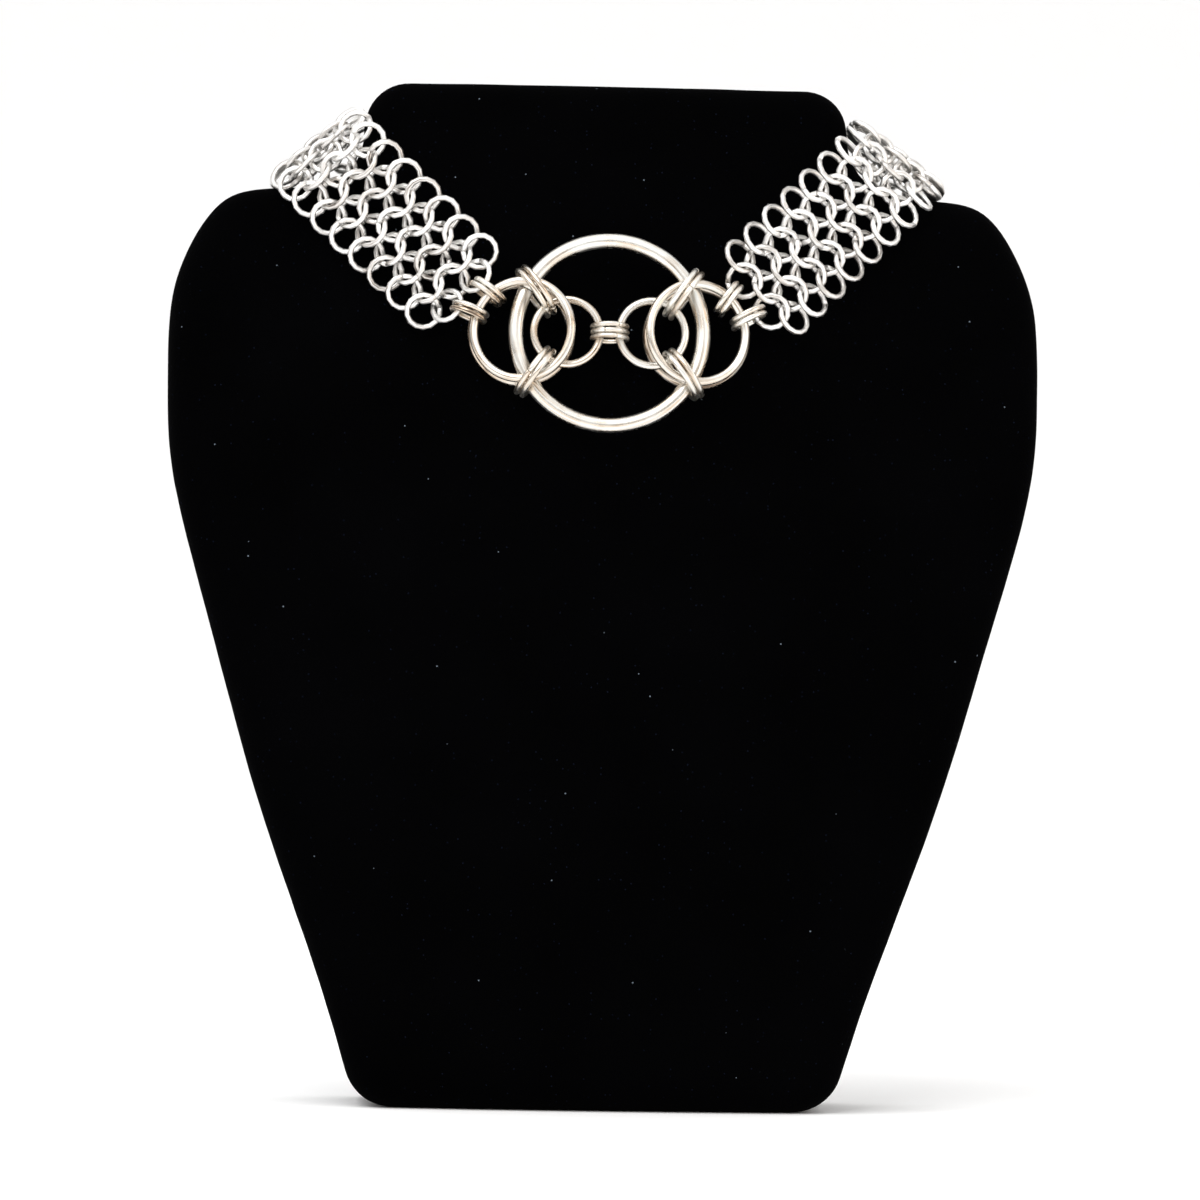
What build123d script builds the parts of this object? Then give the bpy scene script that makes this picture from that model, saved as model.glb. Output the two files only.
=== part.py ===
"""Chainmail necklace fastened round a flat-backed velvet neck bust.

Millimetres, +Z up. The bust faces -Y and +X is the viewer's right. The origin is the centre of
the bust's flat base. The necklace is a centrepiece of round rings between two five-row mail
bands, which go over the bust's shoulders and meet behind it in plain chain and a hook.
"""

import os
from collections import namedtuple
from math import atan2, ceil, cos, pi, radians, sin, sqrt, tan

from build123d import *

# Neck bust
bust_height = 209.5
shoulder_half_width = 89.2
bust_depth = 48.5
front_radius = 400.0
base_half_width = 41.0
base_corner_radius = 10.0
base_corner_angle = 74.0
neck_half_width = 49.6
neck_corner_radius = 9.0
rim_radius = 8.0

# Side of the bust from base to shoulder: half width as a share of shoulder_half_width, height as
# a share of bust_height
FLANK = [(0.649, 0.143), (0.769, 0.286), (0.901, 0.477), (0.977, 0.597), (1.0, 0.706)]
SHOULDER = [(0.978, 0.811), (0.897, 0.874)]
HOLLOW_START = (0.7422, 0.894)

# Front of the bust: height as a share of bust_height, depth as a share of bust_depth
FRONT = [(0.0, 0.856), (0.25, 0.969), (0.5, 1.0), (0.7, 0.932), (0.82, 0.825), (0.92, 0.711), (1.0, 0.608)]

# Mail links: mean radius and wire, and how far each leans out of the band
link_radius = 3.37
link_wire = 1.0
link_lean_angle = 27.8
link_pitch = 1.656 * link_radius
row_pitch = 1.237 * link_radius
band_columns = 18

# Band route: where it starts beside the centrepiece, slope, lean of the run and of the rows,
# the two bends over the shoulder, the turn of their bend lines and the room that they leave
band_start_out = 4.2
band_start_up = 10.0
band_start_back = 3.8
band_start_stagger = 0.5
band_slope_angle = 42.3
band_run_angle = {"left": 14.2, "right": 17.4}
band_row_angle = -9.2
shoulder_bend = 13.4
back_bend = 12.0
fold_angle = {"left": 7.9, "right": 11.1}
fold_room = 1.55
back_room = 4.4

# Centrepiece rings: mean radii, wires and centres, in its own leaning plane
centre_height = 0.754 * bust_height
centre_lean_angle = 9.0
centre_stand_off = 6.5
large_radius = 18.95
large_wire = 3.0
large_forward = -0.045
medium_radius = 10.05
medium_wire = 1.75
medium_offset = 17.7
medium_spread_angle = 7.8
medium_angle = 6.6
inner_radius = 6.7
inner_wire = 1.6
inner_offset = 8.62
inner_forward = 0.3

# Small links of the centrepiece
binding_radius = 5.4
binding_wire = 1.2
binding_angle = 2.0
joining_radius = 3.5
joining_wire = 1.1
centre_link_wire = 1.05

# Chain and hook behind the bust
hook_loop_radius = 4.75
hook_wire = 1.3
hook_opening_angle = 60.0

piece_clearance = 0.15

back_y = bust_depth * FRONT[0][1] / 2
SIDES = {"left": -1, "right": 1}
Ring = namedtuple("Ring", "centre axis radius wire")


def ring_solid(ring):
    """One round ring or link of wire."""
    return Solid.make_torus(ring.radius, ring.wire / 2, Plane(origin=ring.centre, z_dir=ring.axis))


def front_depth(height):
    """Depth of the bust's front over its back, on its centre line."""
    share = height / bust_height
    for (low, depth_low), (high, depth_high) in zip(FRONT, FRONT[1:]):
        if share <= high:
            part = (share - low) / (high - low)
            return bust_depth * (depth_low + part * (depth_high - depth_low))
    return bust_depth * FRONT[-1][1]


def bust_outline():
    """Front view of the bust, a half and its mirror image."""
    flank = [(w * shoulder_half_width, h * bust_height) for w, h in FLANK]
    shoulder = [(w * shoulder_half_width, h * bust_height) for w, h in SHOULDER]
    hollow = (HOLLOW_START[0] * shoulder_half_width, HOLLOW_START[1] * bust_height)
    level, upright = (-1, 0.02), (0, 1)
    with BuildLine(Plane.XZ) as half:
        corner = JernArc((base_half_width, 0), (1, 0), base_corner_radius, base_corner_angle)
        Line((0, 0), (base_half_width, 0))
        Spline([corner @ 1] + flank, tangents=[corner % 1, upright])
        Spline([flank[-1]] + shoulder + [hollow], tangents=[upright, level])
        neck = JernArc((neck_half_width, bust_height - neck_corner_radius), upright, neck_corner_radius, 90)
        Spline([hollow, neck @ 0], tangents=[level, upright])
        Line(neck @ 1, (0, bust_height))
        mirror(about=Plane.YZ)
    return make_face(half.edges())


def front_section(height, depth):
    """Level cut through the bust's front form, wider than the bust."""
    half_width = shoulder_half_width + rim_radius
    drop = front_radius - sqrt(front_radius**2 - half_width**2)
    corner = (half_width, back_y - depth + drop)
    with BuildLine(Plane.XY.offset(height)) as outline:
        ThreePointArc((-corner[0], corner[1]), (0, back_y - depth), corner)
        Polyline(corner, (half_width, back_y), (-half_width, back_y), (-corner[0], corner[1]))
    return make_face(outline.edges())


def display_bust():
    """Outline carried through the depth, cut to the curved front, with its rims rounded."""
    slab = extrude(bust_outline(), 2 * bust_depth, both=True)
    form = loft([front_section(h * bust_height, d * bust_depth) for h, d in FRONT])
    body = slab & form
    body = fillet(body.faces().sort_by(Axis.Y)[0].edges(), rim_radius)
    back = body.faces().filter_by(GeomType.PLANE).sort_by(Axis.Y)[-1]
    return fillet(back.edges(), rim_radius)


class BandSheet:
    """The surface that a mail band follows: flat, bent over the shoulder, flat down the back.

    It bends about straight lines, so lengths along it are true. It starts beside the
    centrepiece, and its bend lines are turned by fold_angle against the band's rows.
    """

    def __init__(self, name):
        side = SIDES[name]
        slope, rows = radians(band_slope_angle), radians(band_row_angle)
        run = Vector(side * cos(slope), 0, sin(slope))
        upward = Vector(-side * sin(slope), 0, cos(slope))
        row_line = upward * cos(rows) + Vector(0, sin(rows), 0)
        self.side = side
        self.turn = radians(fold_angle[name])
        self.outward = upward * sin(rows) - Vector(0, cos(rows), 0)
        self.run = run * cos(self.turn) + row_line * sin(self.turn)
        self.bend_line = row_line * cos(self.turn) - run * sin(self.turn)
        start_x = side * (medium_offset + medium_radius + band_start_out)
        start_depth = centre_depth - band_start_back + side * band_start_stagger
        self.start = Vector(start_x, back_y - start_depth, centre_height + band_start_up)
        self.lean = radians(band_run_angle[name])
        straight = (self.fold_reach() - shoulder_bend * (1 - sin(self.lean))) / cos(self.lean)
        back_of_bend = straight * sin(self.lean) + shoulder_bend * cos(self.lean)
        self.stretches = [
            (straight, 0),
            (shoulder_bend * (pi / 2 - self.lean), shoulder_bend),
            (start_depth + back_room - back_of_bend - back_bend, 0),
            (back_bend * pi / 2, back_bend),
            (10 * bust_height, 0),
        ]

    def fold_reach(self):
        """Distance from the start to the top of the fold, past the neck and the shoulder."""
        neck = Vector(self.side * neck_half_width, self.start.Y, bust_height - neck_corner_radius)
        hollow = Vector(self.side * HOLLOW_START[0] * shoulder_half_width, self.start.Y,
                        HOLLOW_START[1] * bust_height)
        return max((place - self.start).dot(self.run) for place in (neck, hollow)) + fold_room

    def path(self, length):
        """Distance out and back, and slope, after a length square to the bend lines."""
        out, back, slope = 0.0, 0.0, self.lean
        if length < 0:
            return length * cos(slope), length * sin(slope), slope
        for stretch, radius in self.stretches:
            part = min(length, stretch)
            if radius:
                turned = slope + part / radius
                out += radius * (sin(turned) - sin(slope))
                back += radius * (cos(slope) - cos(turned))
                slope = turned
            else:
                out += part * cos(slope)
                back += part * sin(slope)
            length -= part
            if length <= 0:
                break
        return out, back, slope

    def at(self, along, across):
        """Point on the sheet, and its directions along the run and outwards."""
        square = along * cos(self.turn) + across * sin(self.turn)
        level = across * cos(self.turn) - along * sin(self.turn)
        out, back, slope = self.path(square)
        point = self.start + self.run * out - self.outward * back + self.bend_line * level
        ahead = self.run * cos(slope) - self.outward * sin(slope)
        outward = self.run * sin(slope) + self.outward * cos(slope)
        return point, ahead * cos(self.turn) - self.bend_line * sin(self.turn), outward

    def link(self, row, half_step):
        """Link of a row from 2 at the top to -2, at a number of half pitches from the start."""
        point, run, outward = self.at(half_step * link_pitch / 2, row * row_pitch)
        way = self.side if row % 2 == 0 else -self.side
        lean = radians(link_lean_angle)
        return Ring(point, outward * cos(lean) + run * (way * sin(lean)), link_radius, link_wire)

    def band_links(self):
        """Whole columns of links, then an end of two links and one."""
        rings = []
        for half_step in range(-1, 2 * band_columns + 1):
            rows = (2, 0, -2) if half_step % 2 == 0 else (1, -1)
            rings += [self.link(row, half_step) for row in rows]
        rings += [self.link(row, 2 * band_columns + 1) for row in (1, -1)]
        return rings + [self.link(0, 2 * band_columns + 2)]

    def chain_end(self):
        """Upper end of the chain's route, and its steepness there."""
        last = self.link(0, 2 * band_columns + 2)
        _, run, _ = self.at((band_columns + 1) * link_pitch, 0)
        ahead = (run - last.axis * run.dot(last.axis)).normalized() * last.radius
        return last.centre + ahead - run * last.radius, atan2(-run.Z, abs(run.X))

    def chain_foot(self):
        """Height of the chain's foot if it curves all the way from its upper end."""
        end, steepness = self.chain_end()
        return end.Z - (abs(end.X) - chain_start) * tan(steepness / 2)

    def chain_links(self):
        """Links up a curve from the hook, then straight to the band, edge-on and flat in turn."""
        end, steepness = self.chain_end()
        width = abs(end.X) - chain_start
        straight = (end.Z - hook_height) / tan(steepness / 2) - width
        arc_radius = (width - straight * cos(steepness)) / sin(steepness)
        length = arc_radius * steepness + straight
        longest = 2 * link_radius - link_wire - piece_clearance
        count = ceil(length / longest)
        count += 1 - count % 2
        rings = []
        for number in range(count):
            share = number / count
            angle = min(share * length / arc_radius, steepness)
            beyond = share * length - arc_radius * angle
            out = chain_start + arc_radius * sin(angle) + beyond * cos(angle)
            up = arc_radius * (1 - cos(angle)) + beyond * sin(angle)
            centre = Vector(self.side * out, chain_y + share * max(end.Y - chain_y, 0), hook_height + up)
            edge_on = Vector(-self.side * sin(angle), 0, cos(angle))
            axis = Vector(0, 1, 0) if number % 2 else edge_on
            rings.append(Ring(centre, axis, link_radius, link_wire))
        return rings


def section(ring, point, axis, near):
    """Where a ring's wire passes through a plane, nearest to a place, and half the cut's width."""
    along = ring.axis.cross(axis).normalized()
    towards = along.cross(ring.axis)
    step = (point - ring.centre).dot(axis) / towards.dot(axis)
    half = sqrt(max(ring.radius**2 - step**2, 0))
    ends = [ring.centre + towards * step + along * way * half for way in (-1, 1)]
    place = min(ends, key=lambda end: (end - near).length)
    tangent = ring.axis.cross(place - ring.centre).normalized()
    return place, ring.wire / 2 / abs(tangent.dot(axis))


def link_round(wires, point, axis, radius, wire):
    """Link square to an axis, its middle that of the smallest circle round the wires' sections."""
    cuts = [section(ring, point, axis, near) for ring, near in wires]
    middle = cuts[0][0]
    for step in range(2, 400):
        place, reach = max(cuts, key=lambda cut: (cut[0] - middle).length + cut[1])
        away = place - middle
        middle += away.normalized() * ((away.length + reach) / step)
    return Ring(middle, axis, radius, wire)


def placed(ring):
    """A ring of the centrepiece's plane, in the part's frame."""
    centre = centre_plane.from_local_coords(ring.centre)
    tip = centre_plane.from_local_coords(ring.centre + ring.axis)
    return Ring(centre, tip - centre, ring.radius, ring.wire)


def medium_forward(reach):
    """Height of the middle between a pair of medium rings, at a reach outward of their centre."""
    return -(reach + medium_offset - crossing_out) * tan(radians(medium_angle))


def medium_parting(reach):
    """Distance between the middles of a medium pair's wires, which meet at the outer side."""
    return medium_wire + piece_clearance + 2 * (medium_radius - reach) * tan(radians(medium_spread_angle))


def medium_ring(side, front):
    """Front (1) or back (-1) ring of the pair that holds the large ring between its wires."""
    rise = -tan(radians(medium_angle)) - front * tan(radians(medium_spread_angle))
    forward = medium_forward(0) + front * medium_parting(0) / 2
    axis = Vector(-side * rise, 0, 1).normalized()
    return placed(Ring(Vector(side * medium_offset, 0, forward), axis, medium_radius, medium_wire))


def inner_ring(side):
    centre = Vector(side * inner_offset, 0, inner_forward)
    return placed(Ring(centre, Vector(0, 0, 1), inner_radius, inner_wire))


def binding_links(side, level):
    """Pair of links that lash the large, medium and inner rings together where they cross."""
    steepness = atan2(crossing_up, crossing_out - inner_offset) + radians(binding_angle)
    crossing = centre_plane.from_local_coords(Vector(side * crossing_out, level * crossing_up, 0))
    square = Vector(level * sin(steepness), -side * cos(steepness), 0)
    axis = centre_plane.from_local_coords(square) - centre_plane.origin
    held = [large_ring, medium_ring(side, 1), medium_ring(side, -1), inner_ring(side)]
    pitch = binding_wire + piece_clearance
    return [link_round([(ring, crossing) for ring in held], crossing + axis * step, axis,
                       binding_radius, binding_wire) for step in (-pitch / 2, pitch / 2)]


def joining_links(sheet, row):
    """Pair of links from a pair of medium rings to the end link of a band's row."""
    end = sheet.link(row, -1)
    local = centre_plane.to_local_coords(end.centre)
    angle = atan2(local.Y, abs(local.X) - medium_offset)
    reach = medium_radius * cos(angle)
    on_medium = centre_plane.from_local_coords(Vector(
        sheet.side * (medium_offset + reach), medium_radius * sin(angle), medium_forward(reach)))
    towards = on_medium - end.centre
    on_end = end.centre + (towards - end.axis * towards.dot(end.axis)).normalized() * end.radius
    axis = (on_end - on_medium).cross(centre_plane.z_dir).normalized()
    wires = [(medium_ring(sheet.side, 1), on_medium), (medium_ring(sheet.side, -1), on_medium),
             (end, on_end)]
    pitch = joining_wire + piece_clearance
    return [link_round(wires, on_medium + axis * step, axis, joining_radius, joining_wire)
            for step in (-pitch / 2, pitch / 2)]


def centre_links():
    """Three links side by side that join the inner rings."""
    pitch = centre_link_wire + piece_clearance
    inner_gap = inner_offset - sqrt(inner_radius**2 - pitch**2)
    radius = inner_gap + (inner_wire + centre_link_wire) / 2 + piece_clearance
    return [placed(Ring(Vector(0, step, inner_forward), Vector(0, 1, 0), radius, centre_link_wire))
            for step in (-pitch, 0, pitch)]


def clasp_hook():
    """Hook of bent wire, an open loop for each chain."""
    loops = Plane(origin=(0, chain_y, hook_height), x_dir=(1, 0, 0), z_dir=(0, -1, 0))
    turn = 360 - hook_opening_angle
    with BuildLine(loops) as path:
        CenterArc((-hook_loop_radius, 0), hook_loop_radius, hook_opening_angle, turn)
        CenterArc((hook_loop_radius, 0), hook_loop_radius, 180, -turn)
    profile = Plane(path.line @ 0, z_dir=path.line % 0) * Circle(hook_wire / 2)
    return sweep(profile, path=path.line)


def write(shape, node):
    export_step(shape, f"parts/{node}.step")


crossing_out = (medium_offset**2 + large_radius**2 - medium_radius**2) / (2 * medium_offset)
crossing_up = sqrt(large_radius**2 - crossing_out**2)
centre_depth = front_depth(centre_height) + centre_stand_off
centre_plane = Plane(
    origin=(0, back_y - centre_depth, centre_height),
    x_dir=(1, 0, 0),
    z_dir=(0, -cos(radians(centre_lean_angle)), sin(radians(centre_lean_angle))),
)
chain_y = back_y + link_radius + link_wire / 2 + piece_clearance
chain_start = 2 * hook_loop_radius + link_radius - (hook_wire + link_wire) / 2 - piece_clearance

large_ring = placed(Ring(Vector(0, 0, large_forward), Vector(0, 0, 1), large_radius, large_wire))
sheets = {name: BandSheet(name) for name in SIDES}
hook_height = min(sheet.chain_foot() for sheet in sheets.values())
nodes = {"large_ring": [large_ring]}
for number, ring in enumerate(centre_links(), 1):
    nodes[f"centre_link_{number}"] = [ring]
for name, sheet in sheets.items():
    nodes[f"medium_ring_{name}_front"] = [medium_ring(sheet.side, 1)]
    nodes[f"medium_ring_{name}_back"] = [medium_ring(sheet.side, -1)]
    nodes[f"inner_ring_{name}"] = [inner_ring(sheet.side)]
    nodes[f"mail_band_{name}"] = sheet.band_links()
    nodes[f"chain_{name}"] = sheet.chain_links()
    for height, level in (("upper", 1), ("lower", -1)):
        for number, ring in enumerate(binding_links(sheet.side, level), 1):
            nodes[f"binding_link_{height}_{name}_{number}"] = [ring]
        for number, ring in enumerate(joining_links(sheet, level), 1):
            nodes[f"joining_link_{height}_{name}_{number}"] = [ring]

if __name__ == "__main__":
    os.makedirs("parts", exist_ok=True)
    for node, rings in nodes.items():
        solids = [ring_solid(ring) for ring in rings]
        write(Compound(solids) if len(solids) > 1 else solids[0], node)
    write(clasp_hook(), "clasp_hook")
    write(display_bust(), "display_bust")
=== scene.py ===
"""Chainmail necklace fastened round a velvet neck bust, on a white seamless sweep.

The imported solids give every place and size. Each ring is drawn again round the axis of its
own solid, as a cut and closed jump ring, the bust gets its velvet, and the hook keeps its
solid.
"""

import logging
from dataclasses import dataclass
from enum import Enum

import bpy
import numpy as np
from mathutils import Matrix


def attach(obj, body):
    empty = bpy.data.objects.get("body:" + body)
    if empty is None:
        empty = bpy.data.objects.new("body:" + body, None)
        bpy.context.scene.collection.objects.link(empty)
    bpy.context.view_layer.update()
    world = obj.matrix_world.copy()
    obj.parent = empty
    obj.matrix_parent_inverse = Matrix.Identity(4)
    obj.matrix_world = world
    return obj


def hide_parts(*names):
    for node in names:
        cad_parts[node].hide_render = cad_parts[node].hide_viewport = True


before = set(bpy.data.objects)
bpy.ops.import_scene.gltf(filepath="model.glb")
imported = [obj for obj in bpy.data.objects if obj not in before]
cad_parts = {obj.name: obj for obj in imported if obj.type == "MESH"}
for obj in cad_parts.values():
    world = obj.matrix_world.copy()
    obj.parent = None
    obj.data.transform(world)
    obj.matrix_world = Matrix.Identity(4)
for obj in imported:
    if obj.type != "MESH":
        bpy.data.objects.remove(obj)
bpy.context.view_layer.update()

LOG = logging.getLogger("necklace")
MM = 0.001  # metres in a millimetre
SEED = 41


class Slot(Enum):
    """Kinds of finish of the necklace's pieces; a piece with none belongs to the stage."""

    WIRE = "silver_wire"
    VELVET = "black_velvet"


class Side(Enum):
    """Halves of the necklace, as the viewer sees them."""

    LEFT = "left"
    RIGHT = "right"


def linear(hex_code: str) -> tuple[float, float, float, float]:
    """Turns an sRGB hex colour into linear RGBA, by the sRGB curve.

    Args:
        hex_code: colour as #rrggbb.

    Returns:
        Linear red, green and blue, and an alpha of 1.
    """
    raw = [int(hex_code[i : i + 2], 16) / 255 for i in (1, 3, 5)]
    red, green, blue = [c / 12.92 if c <= 0.04045 else ((c + 0.055) / 1.055) ** 2.4 for c in raw]
    return red, green, blue, 1.0


def add_node(tree: bpy.types.NodeTree, kind: str, settings: dict) -> bpy.types.Node:
    """Adds a node and sets it up.

    Args:
        tree: node tree that gets the node.
        kind: Blender's name of the node type.
        settings: fixed value or output socket by input name or number, or value by property
            name with a leading dot.

    Returns:
        The new node.
    """
    node = tree.nodes.new(kind)
    for key, value in settings.items():
        if isinstance(key, str) and key.startswith("."):
            setattr(node, key[1:], value)
        elif isinstance(value, bpy.types.NodeSocket):
            tree.links.new(value, node.inputs[key])
        else:
            node.inputs[key].default_value = value
    return node


def add_noise(tree: bpy.types.NodeTree, place: bpy.types.NodeSocket, patch: float,
              detail: float) -> bpy.types.NodeSocket:
    """Adds a pattern of soft patches.

    Args:
        tree: node tree that gets the pattern.
        place: coordinates.
        patch: size of a patch, in the unit of the coordinates.
        detail: how many times finer patches are added.

    Returns:
        Output between zero and one.
    """
    noise = {"Vector": place, "Scale": 1 / patch, "Detail": detail}
    return add_node(tree, "ShaderNodeTexNoise", noise).outputs["Fac"]


def add_math(tree: bpy.types.NodeTree, operation: str,
             *operands: float | bpy.types.NodeSocket) -> bpy.types.NodeSocket:
    """Adds a step of arithmetic.

    Args:
        tree: node tree that gets the step.
        operation: Blender's name of the operation.
        operands: a number or an output socket each, in the operation's order.

    Returns:
        Output with the result.
    """
    settings = {".operation": operation, **dict(enumerate(operands))}
    return add_node(tree, "ShaderNodeMath", settings).outputs[0]


def add_mix(tree: bpy.types.NodeTree, share: bpy.types.NodeSocket,
            first: tuple | bpy.types.NodeSocket, second: tuple) -> bpy.types.NodeSocket:
    """Adds a colour between two colours.

    Args:
        tree: node tree that gets the colour.
        share: output with the second colour's share.
        first: linear RGBA, or an output with a colour.
        second: linear RGBA.

    Returns:
        Output with the mixed colour.
    """
    settings = {".data_type": "RGBA", 0: share, 6: first, 7: second}
    return add_node(tree, "ShaderNodeMix", settings).outputs[2]


def add_ramp(tree: bpy.types.NodeTree, value: bpy.types.NodeSocket,
             *stops: tuple[float, str]) -> bpy.types.NodeSocket:
    """Adds a colour that changes with a value.

    Args:
        tree: node tree that gets the colour.
        value: output that picks the colour.
        stops: value and sRGB hex of each colour, the values rising.

    Returns:
        Output with the colour.
    """
    ramp = add_node(tree, "ShaderNodeValToRGB", {"Fac": value})
    elements = ramp.color_ramp.elements
    for number, (position, colour) in enumerate((stops[0], stops[-1])):
        elements[number].position, elements[number].color = position, linear(colour)
    for position, colour in stops[1:-1]:
        elements.new(position).color = linear(colour)
    return ramp.outputs[0]


def add_bump(tree: bpy.types.NodeTree, height: bpy.types.NodeSocket, strength: float,
             depth_mm: float) -> bpy.types.NodeSocket:
    """Adds a fine relief.

    Args:
        tree: node tree that gets the relief.
        height: pattern that gives its height.
        strength: share of the relief that shows.
        depth_mm: depth between the pattern's zero and one.

    Returns:
        Output for a shader's Normal.
    """
    bump = {"Strength": strength, "Distance": depth_mm * MM, "Height": height}
    return add_node(tree, "ShaderNodeBump", bump).outputs[0]


def add_specks(tree: bpy.types.NodeTree, place: bpy.types.NodeSocket, spacing_mm: float,
               radius: float, rarity: float) -> bpy.types.NodeSocket:
    """Adds a mask of small round specks.

    Args:
        tree: node tree that gets the mask.
        place: coordinates.
        spacing_mm: distance between the places where a speck can be.
        radius: a speck's radius as a share of that distance.
        rarity: share of the places that stay empty.

    Returns:
        Output that is one in a speck and zero elsewhere.
    """
    voronoi = {"Vector": place, "Scale": 1 / (spacing_mm * MM)}
    cells = add_node(tree, "ShaderNodeTexVoronoi", voronoi).outputs
    chance = add_node(tree, "ShaderNodeSeparateColor", {0: cells["Color"]}).outputs[0]
    near = add_math(tree, "LESS_THAN", cells["Distance"], radius)
    kept = add_math(tree, "GREATER_THAN", chance, rarity)
    return add_math(tree, "MULTIPLY", near, kept)


def new_material(name: str) -> tuple[bpy.types.Material, bpy.types.NodeTree]:
    """Makes an empty node material.

    Args:
        name: name of the real material.

    Returns:
        The material and its node tree.
    """
    material = bpy.data.materials.new(name)
    material.use_nodes = True
    material.node_tree.nodes.clear()
    return material, material.node_tree


def add_surface(tree: bpy.types.NodeTree, settings: dict) -> None:
    """Adds the shader of a material, and its output.

    Args:
        tree: node tree of the material.
        settings: fixed value or output socket by input name of the shader.
    """
    shader = add_node(tree, "ShaderNodeBsdfPrincipled", settings)
    add_node(tree, "ShaderNodeOutputMaterial", {"Surface": shader.outputs[0]})


def make_piece(name: str, points: np.ndarray, faces: list, material: bpy.types.Material,
               slot: Slot | None = None, replaced: str | None = None) -> bpy.types.Object:
    """Makes a smooth piece of points and faces, and ties it to the frame.

    Args:
        name: name of the piece.
        points: corner places in millimetres, one row each.
        faces: corner numbers of each face.
        material: finish of the piece.
        slot: kind of finish of a necklace piece, or None for the stage.
        replaced: name of the solid that the piece stands for, or None for the stage.

    Returns:
        The new object.
    """
    mesh = bpy.data.meshes.new(name)
    mesh.from_pydata(points * MM, [], faces)
    mesh.polygons.foreach_set("use_smooth", np.ones(len(mesh.polygons), dtype=bool))
    mesh.materials.append(material)
    mesh.update()
    piece = bpy.data.objects.new(name, mesh)
    bpy.context.scene.collection.objects.link(piece)
    if slot is None:
        return piece
    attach(piece, "root")
    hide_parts(replaced)
    LOG.info("%s: %d corners, %d faces", name, len(points), len(mesh.polygons))
    return piece


def add_attribute(piece: bpy.types.Object, name: str, kind: str, values: np.ndarray) -> None:
    """Gives each corner of a piece a value that its material reads.

    Args:
        piece: the piece.
        name: name of the attribute.
        kind: FLOAT for numbers or FLOAT_VECTOR for vectors.
        values: one value a corner.
    """
    attribute = piece.data.attributes.new(name, kind, "POINT")
    field = "value" if kind == "FLOAT" else "vector"
    attribute.data.foreach_set(field, values.astype(np.float32).ravel())


def grid_faces(rows: int, columns: int, closed: bool) -> np.ndarray:
    """Corner numbers of the four-sided faces of a grid of points.

    Args:
        rows: number of rows of points.
        columns: number of points a row.
        closed: whether each row's last point joins its first.

    Returns:
        One row of four corner numbers a face.
    """
    row, column = np.meshgrid(np.arange(rows - 1), np.arange(columns if closed else columns - 1),
                              indexing="ij")
    next_row, next_column = row + 1, (column + 1) % columns
    corners = [row * columns + column, next_row * columns + column,
               next_row * columns + next_column, row * columns + next_column]
    return np.stack(corners, axis=-1).reshape(-1, 4)


@dataclass(frozen=True)
class BrightAluminiumWire:
    """Bright aluminium jump-ring wire: a soft white gloss with streaks that the die left along it.

    The streaks run along the wire and are a few tenths of a millimetre wide. Their relief is the
    die's, and their colours are partly painted: a tan that is partly the metal's own tone and
    partly painted shade, and thin dark lines that are a painted reflection of the black velvet. A
    haze of handling clouds them every few millimetres. The three colours lie at values of the
    weighted sum of streaks, haze and each ring's own tone, and over the haze's range the roughness
    changes from its clear to its hazy value.
    """

    name: str = "bright aluminium wire"
    # line: thin dark lines of painted reflection of the black velvet, along the streaks
    line: str = "#6d5d50"
    reflection_line_at: float = 0.46
    # shade: tan, partly the metal's own tone and partly painted shade
    shade: str = "#cfbda8"
    shade_at: float = 0.53
    colour: str = "#eeede8"
    colour_at: float = 0.80
    roughness: float = 0.26
    clear_change: float = -0.05
    hazy_change: float = 0.1
    haze_mm: float = 5.0
    haze_range: tuple[float, float] = (0.3, 0.7)
    haze_weight: float = 0.45
    streak_mm: float = 0.45
    streak_weight: float = 0.9
    detail: float = 3.0
    relief: float = 0.25
    relief_mm: float = 0.03

    def make(self) -> bpy.types.Material:
        """Builds the material.

        Returns:
            A metal whose colour follows each ring's tone, its streaks and the haze, with painted
            dark reflections and a partly painted tan shade.
        """
        material, tree = new_material(self.name)
        place = add_node(tree, "ShaderNodeTexCoord", {}).outputs["Object"]
        tone = add_node(tree, "ShaderNodeAttribute", {".attribute_name": "tone"}).outputs["Fac"]
        wire = add_node(tree, "ShaderNodeAttribute", {".attribute_name": "wire"}).outputs["Vector"]
        haze = add_noise(tree, place, self.haze_mm * MM, self.detail)
        streaks = add_noise(tree, wire, self.streak_mm, self.detail)
        clouds = add_math(tree, "MULTIPLY_ADD", haze, self.haze_weight, tone)
        clouded = add_math(tree, "MULTIPLY_ADD", streaks, self.streak_weight, clouds)
        # The ramp paints thin dark reflections of the velvet along the streaks, and a tan that is
        # partly painted shade.
        colour = add_ramp(tree, clouded, (self.reflection_line_at, self.line), (self.shade_at, self.shade),
                          (self.colour_at, self.colour))
        rough = add_node(tree, "ShaderNodeMapRange", {
            "Value": haze, "From Min": self.haze_range[0], "From Max": self.haze_range[1],
            "To Min": self.roughness + self.clear_change,
            "To Max": self.roughness + self.hazy_change,
        }).outputs[0]
        bump = add_bump(tree, streaks, self.relief, self.relief_mm)
        add_surface(tree, {"Base Color": colour, "Metallic": 1.0, "Roughness": rough,
                           "Normal": bump})
        return material


@dataclass(frozen=True)
class TumbledAluminiumWire(BrightAluminiumWire):
    """Aluminium wire tumbled after cutting: whiter and more matt, its streaks half worn away.
    Their dark lines are a painted reflection, and their grey is partly painted shade.
    """

    name: str = "tumbled aluminium wire"
    # line and shade: painted dark reflection lines, and a grey that is partly painted shade
    line: str = "#6b635d"
    shade: str = "#c6c0ba"
    colour: str = "#fbfaf8"
    roughness: float = 0.4


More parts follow.
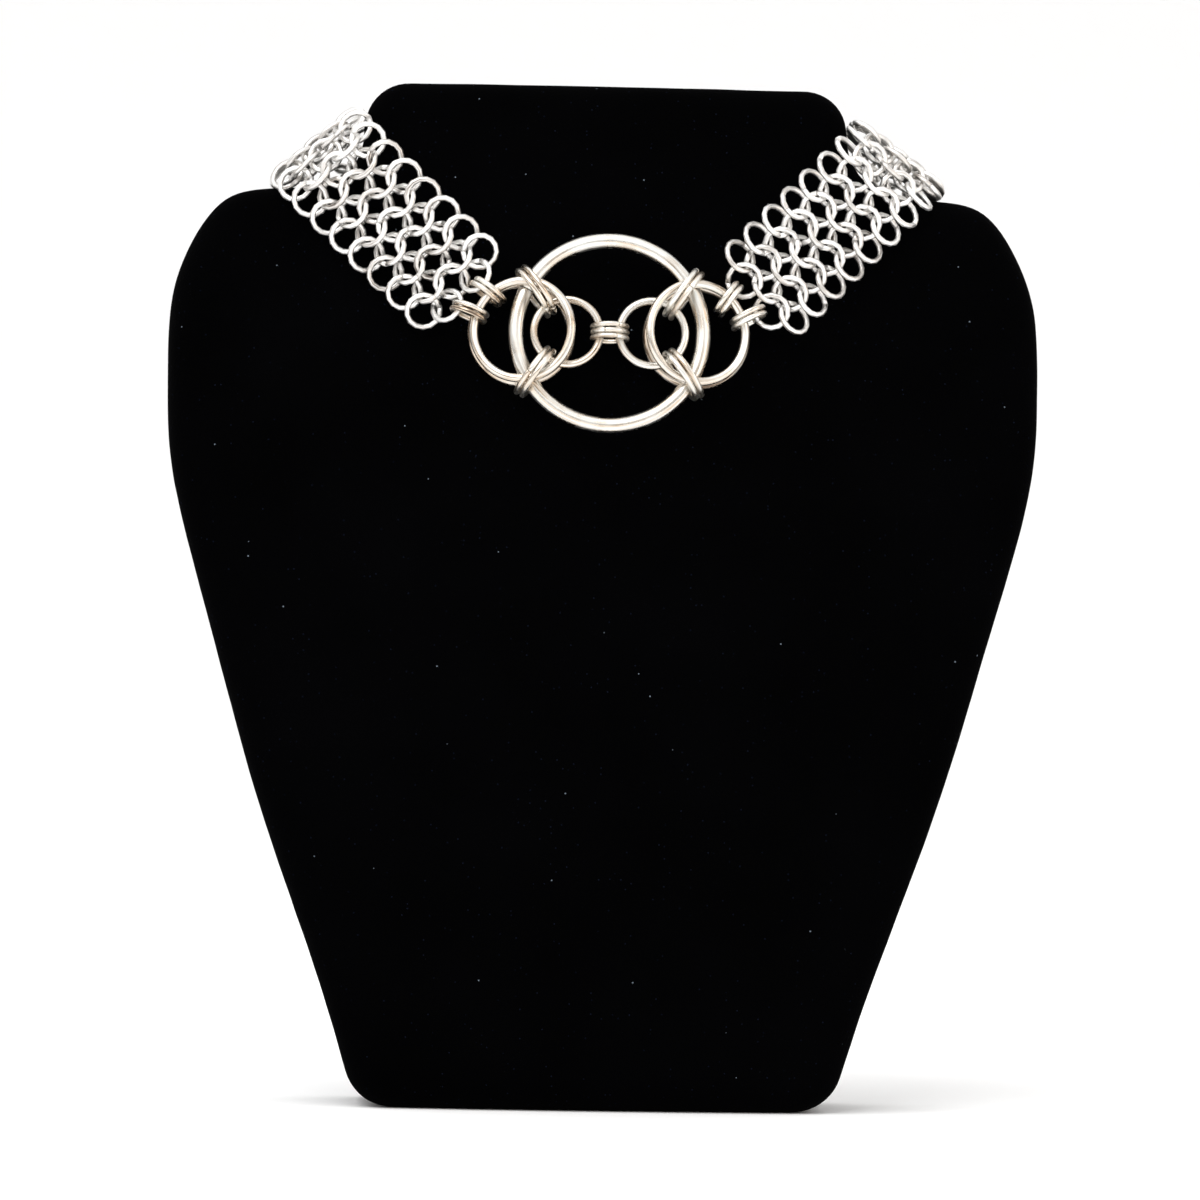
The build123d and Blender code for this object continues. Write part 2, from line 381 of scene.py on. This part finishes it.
@dataclass(frozen=True)
class BlackCottonVelvet:
    """Black cotton velvet: short upright pile that drinks light, brushed unevenly.

    Faint blue-black motes lie in it about a millimetre apart, and rarer pale flecks of lint.
    """

    colour: str = "#010101"
    brushed: str = "#040405"
    brush_mm: float = 30.0
    brush_detail: float = 4.0
    mote: str = "#10141f"
    mote_mm: float = 1.1
    mote_radius: float = 0.13
    mote_rarity: float = 0.8
    fleck: str = "#59626b"
    fleck_mm: float = 2.4
    fleck_radius: float = 0.07
    fleck_rarity: float = 0.95
    pile_mm: float = 0.5
    pile_detail: float = 2.0
    relief: float = 0.5
    relief_mm: float = 0.3
    sheen: float = 0.008
    sheen_roughness: float = 0.4

    def make(self) -> bpy.types.Material:
        """Builds the material.

        Returns:
            A rough near-black cloth with pile bumps, brushed patches, motes and flecks.
        """
        material, tree = new_material("black cotton velvet")
        place = add_node(tree, "ShaderNodeTexCoord", {}).outputs["Object"]
        brush = add_noise(tree, place, self.brush_mm * MM, self.brush_detail)
        pile = add_noise(tree, place, self.pile_mm * MM, self.pile_detail)
        motes = add_specks(tree, place, self.mote_mm, self.mote_radius, self.mote_rarity)
        flecks = add_specks(tree, place, self.fleck_mm, self.fleck_radius, self.fleck_rarity)
        cloth = add_mix(tree, brush, linear(self.colour), linear(self.brushed))
        cloth = add_mix(tree, motes, cloth, linear(self.mote))
        add_surface(tree, {
            "Base Color": add_mix(tree, flecks, cloth, linear(self.fleck)),
            "Roughness": 1.0, "Specular IOR Level": 0.0,
            "Sheen Weight": self.sheen, "Sheen Roughness": self.sheen_roughness,
            "Normal": add_bump(tree, pile, self.relief, self.relief_mm),
        })
        return material


@dataclass(frozen=True)
class WhitePaperSweep:
    """White seamless paper behind and under the bust."""

    colour: str = "#ffffff"
    roughness: float = 0.9
    gloss: float = 0.1

    def make(self) -> bpy.types.Material:
        """Builds the material.

        Returns:
            A plain matt white.
        """
        material, tree = new_material("white seamless paper")
        add_surface(tree, {"Base Color": linear(self.colour), "Roughness": self.roughness,
                           "Specular IOR Level": self.gloss})
        return material


def ring_spans(axis: np.ndarray, steep: float = 0.8) -> tuple[np.ndarray, np.ndarray]:
    """Two directions that span each ring, from its unit axis.

    Args:
        axis: unit ring axes.
        steep: rise from which an axis is crossed with x, and no longer with z.

    Returns:
        Unit directions where a ring's angle is zero and where it is a quarter turn.
    """
    helper = np.where(np.abs(axis[:, 2:]) < steep, [[0.0, 0.0, 1.0]], [[1.0, 0.0, 0.0]])
    across = np.cross(axis, helper)
    across /= np.linalg.norm(across, axis=1, keepdims=True)
    return across, np.cross(axis, across)


@dataclass(frozen=True)
class JumpRings:
    """Closed jump rings drawn round the axes of solid rings.

    Each ring is a circle of wire that leaves and returns to one cut. Its ends are butted with
    a hair's gap and a small sideways step, as pliers leave them.

    Attributes:
        steps: number of stretches of wire between its rounded ends.
        sides: number of corners round the wire.
        thickening: wire thickness as a multiple of the solid's.
        gap_mm: gap between a ring's two wire ends.
        step_mm: sideways step between them.
        rounding_mm: length over which an end is rounded, or zero for square ends.
        end_places: rows of corners in that length, as shares of it.
        end_thickness: wire thickness at those rows, as a share of the full one.
        streak_stretch: how much longer than wide the streaks are.
        tone_spread: how far a ring's tone can lie from the piece's.
        streak_field: width of the pattern in which each ring gets a place of its own.
    """

    steps: int
    sides: int
    thickening: float = 1.0
    gap_mm: float = 0.08
    step_mm: float = 0.04
    rounding_mm: float = 0.12
    end_places: tuple[float, ...] = (0.0, 0.35, 1.0)
    end_thickness: tuple[float, ...] = (0.78, 0.94, 1.0)
    streak_stretch: float = 22.0
    tone_spread: float = 0.09
    streak_field: float = 90.0

    def read_solids(self, node: str, count: int) -> tuple[np.ndarray, ...]:
        """Reads the rings of a node from its mesh.

        The mesh holds its rings one after another with equal numbers of corners. A ring's centre
        is the middle of its box along its own three main directions, and its axis is the one in
        which it is thinnest, taken towards the viewer.

        Args:
            node: name of the solid's node.
            count: number of rings in it.

        Returns:
            Centres, unit axes, mean radii and wire thicknesses in millimetres.
        """
        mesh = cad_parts[node].data
        flat = np.empty(len(mesh.vertices) * 3)
        mesh.vertices.foreach_get("co", flat)
        points = flat.reshape(count, -1, 3) / MM
        middle = points.mean(axis=1, keepdims=True)
        _, _, turned = np.linalg.svd(points - middle, full_matrices=False)
        local = np.einsum("rij,rkj->rik", points - middle, turned)
        low, high = local.min(axis=1), local.max(axis=1)
        centre = middle[:, 0] + np.einsum("rk,rkj->rj", (low + high) / 2, turned)
        axis = turned[:, 2] * np.where(turned[:, 2, 1:2] > 0, -1.0, 1.0)
        wire = high[:, 2] - low[:, 2]
        outer = (high[:, 0] - low[:, 0] + high[:, 1] - low[:, 1]) / 2
        return centre, axis, (outer - wire) / 2, wire * self.thickening

    def angles(self, radius: np.ndarray) -> tuple[np.ndarray, np.ndarray]:
        """Angles of the rows of corners along each ring's wire, and the wire's thinning there.

        Args:
            radius: mean radii.

        Returns:
            One row of angles a ring, and one share of the thickness a row of corners.
        """
        rounded = self.rounding_mm > 0
        ends = np.array(self.end_places if rounded else self.end_places[:1])
        near = self.gap_mm / 2 / radius[:, None] + ends * self.rounding_mm / radius[:, None]
        middle = np.linspace(0.0, 1.0, self.steps + 1)[1:-1]
        body = near[:, -1:] + middle * (2 * np.pi - 2 * near[:, -1:])
        angle = np.concatenate([near, body, 2 * np.pi - near[:, ::-1]], axis=1)
        thin = np.ones(angle.shape[1])
        if rounded:
            thin[: len(ends)], thin[-len(ends) :] = self.end_thickness, self.end_thickness[::-1]
        return angle, thin

    def faces(self, count: int, rows: int) -> list[list[int]]:
        """Faces of the rings: four-sided along the wires, and a flat one on every wire end.

        Args:
            count: number of rings.
            rows: rows of corners along each ring's wire.

        Returns:
            Corner numbers of each face.
        """
        size = rows * self.sides
        first = np.arange(count)[:, None] * size
        quads = (grid_faces(rows, self.sides, True)[None] + first[..., None]).reshape(-1, 4)
        loop = np.arange(self.sides)
        start_caps, end_caps = loop[None] + first, loop[None, ::-1] + size - self.sides + first
        return quads.tolist() + start_caps.tolist() + end_caps.tolist()

    def surface(self, centre: np.ndarray, axis: np.ndarray, radius: np.ndarray, wire: np.ndarray,
                start: np.ndarray) -> tuple[np.ndarray, list[list[int]], np.ndarray]:
        """Corners and faces of the rings.

        A corner is centre + (R + r cos b)(u cos a + v sin a) + axis (r sin b + step), where a
        runs from one wire end to the other, b runs round the wire, u and v span the ring, and r
        shrinks over the rounding at both ends.

        Args:
            centre: ring centres.
            axis: unit ring axes.
            radius: mean radii.
            wire: wire thicknesses.
            start: angle of each ring's cut.

        Returns:
            Corners of all the rings, their faces, and the place of each corner in its
            straightened wire, shortened by the streaks' stretch, ring by ring.
        """
        across, along = ring_spans(axis)
        angle, thin = self.angles(radius)
        turn = (angle + start[:, None])[..., None]
        round_wire = np.linspace(0.0, 2 * np.pi, self.sides, endpoint=False)
        half = wire[:, None, None] / 2 * thin[None, :, None]
        outer, upper = half * np.cos(round_wire), half * np.sin(round_wire)
        rise = upper + (angle[:, :, None] / (2 * np.pi) - 0.5) * self.step_mm
        outward = across[:, None, :] * np.cos(turn) + along[:, None, :] * np.sin(turn)
        reach = radius[:, None, None] + outer
        corners = (centre[:, None, None, :] + reach[..., None] * outward[:, :, None, :]
                   + rise[..., None] * axis[:, None, None, :])
        walked = (angle * radius[:, None])[:, :, None] / self.streak_stretch
        straight = np.stack([np.broadcast_to(walked, outer.shape), outer, upper], axis=-1)
        count, rows = angle.shape
        return corners.reshape(-1, 3), self.faces(count, rows), straight.reshape(count, -1, 3)

    def angle_to(self, centre: np.ndarray, axis: np.ndarray, node: str) -> np.ndarray:
        """Angle of the rings' place nearest to another ring.

        Args:
            centre: ring centres.
            axis: unit ring axes.
            node: name of the other ring's node.

        Returns:
            One angle a ring.
        """
        across, along = ring_spans(axis)
        away = self.read_solids(node, 1)[0] - centre
        return np.arctan2((away * along).sum(axis=1), (away * across).sum(axis=1))

    def build(self, node: str, count: int, finish: bpy.types.Material, seed: int, tone: float,
              cut_under: str | None = None) -> None:
        """Draws the rings of a node and puts them in its place.

        Args:
            node: name of the solid's node.
            count: number of rings in it.
            finish: material of the wire.
            seed: start of the random cut places, tones and streaks.
            tone: lightness of the wire's shade.
            cut_under: node of a ring that hides the cuts, or None for places at random.
        """
        chance = np.random.default_rng(seed)
        centre, axis, radius, wire = self.read_solids(node, count)
        start = chance.uniform(0.0, 2 * np.pi, count)
        if cut_under:
            start = self.angle_to(centre, axis, cut_under)
        points, faces, straight = self.surface(centre, axis, radius, wire, start)
        tones = tone + chance.uniform(-self.tone_spread, self.tone_spread, count)
        straight = straight + chance.uniform(0.0, self.streak_field, (count, 1, 3))
        piece = make_piece(node + "_wire", points, faces, finish, Slot.WIRE, node)
        add_attribute(piece, "tone", "FLOAT", np.repeat(tones, len(points) // count))
        add_attribute(piece, "wire", "FLOAT_VECTOR", straight)


@dataclass
class Centrepiece:
    """Round rings between the two mail bands, with the small links that hold them together."""

    large: JumpRings = JumpRings(160, 28, thickening=1.03)
    medium: JumpRings = JumpRings(112, 20)
    small: JumpRings = JumpRings(48, 14)
    tone: float = 0.0

    def build(self, finish: bpy.types.Material) -> None:
        """Draws every ring, the cuts of the bigger ones under the links that hold them.

        Args:
            finish: material of the wire.
        """
        self.large.build("large_ring", 1, finish, SEED, self.tone, "binding_link_upper_left_1")
        side_rings = self.side_rings()
        for seed, (node, cover) in enumerate(side_rings, SEED + 1):
            self.medium.build(node, 1, finish, seed, self.tone, cover)
        for seed, node in enumerate(self.small_links(), SEED + 1 + len(side_rings)):
            self.small.build(node, 1, finish, seed, self.tone)

    def side_rings(self) -> list[tuple[str, str]]:
        """Nodes of the medium and inner rings, each with the link that covers its cut."""
        return [(node, f"binding_link_upper_{side.value}_1") for side in Side
                for node in (f"medium_ring_{side.value}_front", f"medium_ring_{side.value}_back",
                             f"inner_ring_{side.value}")]

    def small_links(self) -> list[str]:
        """Nodes of the small links."""
        pairs = [f"{kind}_link_{level}_{side.value}_{number}" for kind in ("binding", "joining")
                 for level in ("upper", "lower") for side in Side for number in (1, 2)]
        return pairs + [f"centre_link_{number}" for number in (1, 2, 3)]


@dataclass
class LinkRun:
    """Links of one node at one side of the necklace.

    Attributes:
        side: which side it is.
        node: name of the solids' nodes without the side.
        links: number of links in the node.
        rings: how the links are drawn.
        tone: lightness of the wire's shade.
        first_seed: start of the left side's random values, the right side's being one more.
    """

    side: Side
    node: str
    links: int
    rings: JumpRings
    tone: float
    first_seed: int

    def build(self, finish: bpy.types.Material) -> None:
        """Draws the links.

        Args:
            finish: material of the wire.
        """
        seed = self.first_seed + list(Side).index(self.side)
        self.rings.build(f"{self.node}_{self.side.value}", self.links, finish, seed, self.tone)


@dataclass
class MailBand(LinkRun):
    """Five rows of small links woven four into one."""

    node: str = "mail_band"
    links: int = 98
    rings: JumpRings = JumpRings(14, 6, thickening=1.15, rounding_mm=0.0)
    tone: float = 0.07
    first_seed: int = SEED + 100


@dataclass
class BackChain(LinkRun):
    """Plain links from a band's end to the hook behind the bust."""

    node: str = "chain"
    links: int = 9
    rings: JumpRings = JumpRings(32, 10)
    tone: float = 0.08
    first_seed: int = SEED + 200


@dataclass
class ClaspHook:
    """Hook of bent wire whose two open loops hold the chains."""

    node: str = "clasp_hook"

    def build(self, finish: bpy.types.Material) -> None:
        """Gives the solid hook the wire's finish.

        Args:
            finish: material of the wire.
        """
        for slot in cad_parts[self.node].material_slots:
            slot.material = finish
        LOG.info("%s keeps its solid", self.node)


@dataclass
class NeckBust:
    """Flat-backed display bust covered in velvet.

    Its outline, seen from the front, is read from the solid's upright side wall, and the depth
    of its front from the solid's front corners. A ball of the rim's radius, rolled along the
    outline, joins wall and front, and wall and back.

    Attributes:
        node: name of the solid's node.
        front_radius: radius of the front, seen from above.
        rim: radius of the rims.
        middle: place across and up round which the rows of corners run.
        around: corners a row.
        rim_steps: steps over each rim.
        wall_steps: steps between the rims.
        front_steps: rows from the front's middle to its rim.
        back_steps: rows from the back's rim to its middle.
        depth_steps: heights at which the front's depth is read.
        hole: size of the first and the last row as a share of the outline's.
        wall_limit: how far a wall corner's normal may turn to front or back.
        front_limit: how far a front corner's normal has to turn to the front.
        front_share: part of the outline in which front corners are read, clear of the rim.
        nap_mm: depth of the pile's deepest dents.
        nap_waves: number of waves whose mean gives the dents.
        nap_length_mm: shortest and longest wave.
        nap_contrast: how much the mean is raised before it is cut off at one.
    """

    node: str = "display_bust"
    front_radius: float = 400.0
    rim: float = 8.0
    middle: tuple[float, float] = (0.0, 120.0)
    around: int = 480
    rim_steps: int = 9
    wall_steps: int = 12
    front_steps: int = 42
    back_steps: int = 18
    depth_steps: int = 40
    hole: float = 0.012
    wall_limit: float = 0.02
    front_limit: float = 0.9
    front_share: float = 0.9
    nap_mm: float = 0.14
    nap_waves: int = 14
    nap_length_mm: tuple[float, float] = (7.0, 26.0)
    nap_contrast: float = 2.0

    def read_solid(self) -> tuple[np.ndarray, np.ndarray]:
        """Reads the solid's mesh.

        Returns:
            Corners of the solid in millimetres and its unit normals there.
        """
        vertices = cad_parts[self.node].data.vertices
        corners, normals = np.empty(len(vertices) * 3), np.empty(len(vertices) * 3)
        vertices.foreach_get("co", corners)
        vertices.foreach_get("normal", normals)
        return corners.reshape(-1, 3) / MM, normals.reshape(-1, 3)

    def outline(self, corners: np.ndarray, normals: np.ndarray) -> tuple[np.ndarray, np.ndarray]:
        """Evenly spaced places round the side wall, seen from the front.

        Args:
            corners: corners of the solid.
            normals: unit normals there.

        Returns:
            Places across and up, and unit directions from them into the bust.
        """
        wall = corners[np.abs(normals[:, 1]) < self.wall_limit][:, [0, 2]]
        away = wall - self.middle
        ring = wall[np.argsort(np.arctan2(away[:, 1], away[:, 0]))]
        ring = np.concatenate([ring, ring[:1]])
        lengths = np.linalg.norm(np.diff(ring, axis=0), axis=1)
        walked = np.concatenate([[0.0], np.cumsum(lengths)])
        even = np.linspace(0.0, walked[-1], self.around, endpoint=False)
        places = np.stack([np.interp(even, walked, ring[:, k]) for k in (0, 1)], axis=1)
        ahead = np.roll(places, -1, axis=0) - np.roll(places, 1, axis=0)
        inward = np.stack([-ahead[:, 1], ahead[:, 0]], axis=1)
        return places, inward / np.linalg.norm(inward, axis=1, keepdims=True)

    def depths(self, corners: np.ndarray, normals: np.ndarray, places: np.ndarray) -> np.ndarray:
        """Depth of the front's middle line by height, carried on to the bust's two ends.

        Args:
            corners: corners of the solid.
            normals: unit normals there.
            places: outline of the bust.

        Returns:
            Heights and depths, one row each.
        """
        away, edge = corners[:, [0, 2]] - self.middle, places - self.middle
        turn, edge_turn = (np.arctan2(part[:, 1], part[:, 0]) for part in (away, edge))
        order = np.argsort(edge_turn)
        limit = np.interp(turn, edge_turn[order], np.linalg.norm(edge, axis=1)[order],
                          period=2 * np.pi)
        inside = np.linalg.norm(away, axis=1) < self.front_share * limit
        front = corners[(normals[:, 1] < -self.front_limit) & inside]
        depth = corners[:, 1].max() - front[:, 1] + self.drop(front[:, 0])
        heights = np.linspace(front[:, 2].min(), front[:, 2].max(), self.depth_steps)
        order = np.argsort(front[:, 2])
        table = np.interp(heights, front[order, 2], depth[order])
        top, step = corners[:, 2].max(), heights[1] - heights[0]
        low = table[0] + (table[0] - table[1]) * heights[0] / step
        high = table[-1] + (table[-1] - table[-2]) * (top - heights[-1]) / step
        return np.array([[0.0, *heights, top], [low, *table, high]])

    def drop(self, across: np.ndarray) -> np.ndarray:
        """How far the front has curved back at a distance from its middle line."""
        return self.front_radius - np.sqrt(self.front_radius**2 - across**2)

    def front(self, places: np.ndarray, table: np.ndarray,
              back: float) -> tuple[np.ndarray, np.ndarray]:
        """Front sheet: y = back - depth(z) + R - sqrt(R^2 - x^2).

        Args:
            places: places across and up.
            table: heights and depths.
            back: y of the flat back.

        Returns:
            Points on the sheet and unit directions from them into the bust.
        """
        across, height = places[..., 0], places[..., 1]
        y = back - np.interp(height, *table) + self.drop(across)
        slope_across = across / np.sqrt(self.front_radius**2 - across**2)
        slope_up = -np.interp(height, table[0], np.gradient(table[1], table[0]))
        inward = np.stack([-slope_across, np.ones_like(y), -slope_up], axis=-1)
        inward /= np.linalg.norm(inward, axis=-1, keepdims=True)
        return np.stack([across, y, height], axis=-1), inward

    def rolled(self, ball: np.ndarray, first: np.ndarray,
               last: np.ndarray) -> tuple[np.ndarray, np.ndarray]:
        """Rim that a ball leaves: centre - rim * direction, the direction turning evenly.

        Args:
            ball: centres of the ball.
            first: unit directions into the bust at the rim's start.
            last: unit directions into the bust at its end.

        Returns:
            Rows of points on the rim and unit directions from them into the bust.
        """
        angle = np.arccos(np.clip((first * last).sum(axis=-1), -1.0, 1.0))[:, None]
        part = np.linspace(0.0, 1.0, self.rim_steps + 1)[:, None, None]
        turned = np.sin((1 - part) * angle) * first + np.sin(part * angle) * last
        inward = turned / np.sin(angle)
        return ball - self.rim * inward, inward

    def nap(self, points: np.ndarray) -> np.ndarray:
        """Soft dents of the pile, from the mean of sine waves in random directions.

        Args:
            points: points of the bust.

        Returns:
            How deep each point is pressed in.
        """
        chance = np.random.default_rng(SEED)
        ways = chance.normal(size=(self.nap_waves, 3))
        lengths = chance.uniform(*self.nap_length_mm, self.nap_waves)
        ways *= (2 * np.pi / lengths / np.linalg.norm(ways, axis=1))[:, None]
        starts = chance.uniform(0.0, 2 * np.pi, self.nap_waves)
        waves = np.sin(points @ ways.T + starts).mean(axis=-1)
        return self.nap_mm * (0.5 + 0.5 * np.clip(waves * self.nap_contrast, -1.0, 1.0))

    def rows(self) -> tuple[np.ndarray, np.ndarray]:
        """Rows of points round the outline, from the front's middle to the back's.

        Returns:
            The points, and unit directions from them into the bust.
        """
        corners, normals = self.read_solid()
        back = corners[:, 1].max()
        places, inset = self.outline(corners, normals)
        table = self.depths(corners, normals, places)
        level = np.zeros(self.around)
        wall_inward = np.stack([inset[:, 0], level, inset[:, 1]], axis=1)
        centre = places + self.rim * inset
        touch, lean = self.front(centre, table, back)
        touch, lean = self.front(centre - self.rim * lean[:, [0, 2]], table, back)
        front_rim, front_rim_inward = self.rolled(touch + self.rim * lean, lean, wall_inward)
        back_ball = np.stack([centre[:, 0], level + back - self.rim, centre[:, 1]], axis=1)
        forward = np.array([[0.0, -1.0, 0.0]])
        back_rim, back_rim_inward = self.rolled(back_ball, wall_inward, forward)
        share = np.linspace(self.hole, 1.0, self.front_steps, endpoint=False)[:, None, None]
        sheet, sheet_inward = self.front(self.middle + share * (touch[:, [0, 2]] - self.middle),
                                         table, back)
        down = np.linspace(0.0, 1.0, self.wall_steps + 1)[1:-1, None, None]
        wall = front_rim[-1] + down * (back_rim[0] - front_rim[-1])
        share = np.linspace(1.0, self.hole, self.back_steps + 1)[1:, None, None]
        back_middle = np.array([self.middle[0], back, self.middle[1]])
        panel = back_middle + share * (back_rim[-1] - back_middle)
        inward = [sheet_inward, front_rim_inward, np.broadcast_to(wall_inward, wall.shape),
                  back_rim_inward, np.broadcast_to(forward, panel.shape)]
        return np.concatenate([sheet, front_rim, wall, back_rim, panel]), np.concatenate(inward)

    def build(self, finish: bpy.types.Material) -> None:
        """Draws the bust, each point pressed in by the nap.

        Args:
            finish: velvet material.
        """
        rows, inward = self.rows()
        rows = rows + inward * self.nap(rows)[..., None]
        ring = np.arange(self.around)
        caps = [ring.tolist(), (ring[::-1] + (len(rows) - 1) * self.around).tolist()]
        faces = grid_faces(len(rows), self.around, True).tolist() + caps
        make_piece("velvet_bust", rows.reshape(-1, 3), faces, finish, Slot.VELVET, self.node)


def facing(place: np.ndarray, aim: np.ndarray, roll: float = 0.0) -> Matrix:
    """Matrix of an object that looks along a direction.

    Args:
        place: where it stands, in millimetres.
        aim: direction that it looks in.
        roll: turn about that direction in degrees, clockwise in its picture.

    Returns:
        World matrix in metres.
    """
    ahead = aim / np.linalg.norm(aim)
    right = np.cross(ahead, [0.0, 0.0, 1.0])
    right /= np.linalg.norm(right)
    upward = np.cross(right, ahead)
    angle = np.radians(roll)
    matrix = np.eye(4)
    matrix[:3, 0] = np.cos(angle) * right + np.sin(angle) * upward
    matrix[:3, 1] = np.cos(angle) * upward - np.sin(angle) * right
    matrix[:3, 2], matrix[:3, 3] = -ahead, place * MM
    return Matrix(matrix.tolist())


@dataclass(frozen=True)
class SoftLight:
    """Square soft light, with its place and width in millimetres and its power in watts."""

    name: str
    place: tuple[float, float, float]
    width: float
    power: float
    colour: str

    def build(self, target: tuple[float, float, float]) -> None:
        """Adds the light.

        Args:
            target: place that it is aimed at, in millimetres.
        """
        data = bpy.data.lights.new(self.name, "AREA")
        data.size, data.energy, data.color = self.width * MM, self.power, linear(self.colour)[:3]
        lamp = bpy.data.objects.new(self.name, data)
        lamp.matrix_world = facing(np.array(self.place), np.array(target) - np.array(self.place))
        bpy.context.scene.collection.objects.link(lamp)


@dataclass
class Studio:
    """White sweep, soft lights and the camera of the photograph.

    Attributes:
        target: place in the middle of the picture.
        distance: camera's distance from it.
        azimuth: camera's turn about the bust in degrees, to the viewer's right.
        roll: camera's clockwise turn in degrees.
        lens: focal length.
        sensor: sensor width.
        view_range: camera's farthest view, in metres.
        lit: place that the lights are aimed at.
        lights: soft lights round the bust.
        sweep_half_width: half the width of the paper.
        sweep_front: y where the floor begins.
        sweep_back: y where it starts to curve up.
        sweep_radius: radius of the curve.
        sweep_top: height of the paper.
        sweep_steps: rows of points over the curve.
        horizon: colour of the room up to horizon_at, the sine of the view's rise.
        ceiling: colour of the room from ceiling_at on.
        room_power: strength of the room's light.
    """

    target: tuple[float, float, float] = (0.25, -3.25, 104.0)
    distance: float = 1541.0
    azimuth: float = -2.8
    roll: float = 1.0
    lens: float = 225.15
    sensor: float = 36.0
    view_range: float = 20.0
    lit: tuple[float, float, float] = (0.0, -20.0, 150.0)
    lights: tuple[SoftLight, ...] = (
        SoftLight("key", (-500.0, -900.0, 1300.0), 1300.0, 15.0, "#ffffff"),
        SoftLight("fill", (1100.0, -700.0, 350.0), 700.0, 2.6, "#ffeedd"),
    )
    sweep_half_width: float = 4000.0
    sweep_front: float = -4000.0
    sweep_back: float = 2800.0
    sweep_radius: float = 1200.0
    sweep_top: float = 4600.0
    sweep_steps: int = 24
    horizon: str = "#7a7068"
    horizon_at: float = 0.04
    ceiling: str = "#ffffff"
    ceiling_at: float = 0.30
    room_power: float = 1.1

    def sweep(self) -> None:
        """Floor that curves up into a wall: y and z run along a level line, an arc and a rise."""
        turn = np.linspace(0.0, np.pi / 2, self.sweep_steps)
        y = self.sweep_back + self.sweep_radius * np.sin(turn)
        z = self.sweep_radius * (1 - np.cos(turn))
        y = np.concatenate([[self.sweep_front], y, [self.sweep_back + self.sweep_radius]])
        z = np.concatenate([[0.0], z, [self.sweep_top]])
        x = np.array([-self.sweep_half_width, self.sweep_half_width])
        points = np.stack(np.broadcast_arrays(x[None, :], y[:, None], z[:, None]), axis=-1)
        faces = grid_faces(len(y), 2, False)[:, ::-1].tolist()
        make_piece("paper_sweep", points.reshape(-1, 3), faces, WhitePaperSweep().make())

    def room(self) -> bpy.types.World:
        """Builds the room's light: a dim warm band at the horizon under white walls and ceiling.

        Returns:
            The world.
        """
        world = bpy.data.worlds.new("studio")
        world.use_nodes = True
        tree = world.node_tree
        way = add_node(tree, "ShaderNodeTexCoord", {}).outputs["Generated"]
        rise = add_node(tree, "ShaderNodeSeparateXYZ", {0: way}).outputs["Z"]
        colour = add_ramp(tree, rise, (self.horizon_at, self.horizon),
                          (self.ceiling_at, self.ceiling))
        background = tree.nodes["Background"]
        background.inputs["Strength"].default_value = self.room_power
        tree.links.new(colour, background.inputs["Color"])
        return world

    def camera(self) -> None:
        """Stands the camera level in front of the necklace, a little to the viewer's left."""
        angle = np.radians(self.azimuth)
        ahead = np.array([-np.sin(angle), np.cos(angle), 0.0])
        data = bpy.data.cameras.new("camera")
        data.lens, data.sensor_width, data.clip_end = self.lens, self.sensor, self.view_range
        camera = bpy.data.objects.new("camera", data)
        place = np.array(self.target) - self.distance * ahead
        camera.matrix_world = facing(place, ahead, self.roll)
        bpy.context.scene.collection.objects.link(camera)
        bpy.context.scene.camera = camera

    def build(self) -> None:
        """Sets the room, the sweep, the lights and the camera."""
        scene = bpy.context.scene
        scene.view_settings.view_transform = "Standard"
        scene.world = self.room()
        self.sweep()
        for light in self.lights:
            light.build(self.lit)
        self.camera()


def main() -> None:
    """Builds the studio, the bust and the necklace in order, and logs each piece."""
    logging.basicConfig(level=logging.INFO, format="%(name)s: %(message)s")
    Studio().build()
    wire = BrightAluminiumWire().make()
    mail_wire = TumbledAluminiumWire().make()
    NeckBust().build(BlackCottonVelvet().make())
    Centrepiece().build(wire)
    for side in Side:
        MailBand(side).build(mail_wire)
        BackChain(side).build(mail_wire)
    ClaspHook().build(wire)


if __name__ == "__main__":
    main()
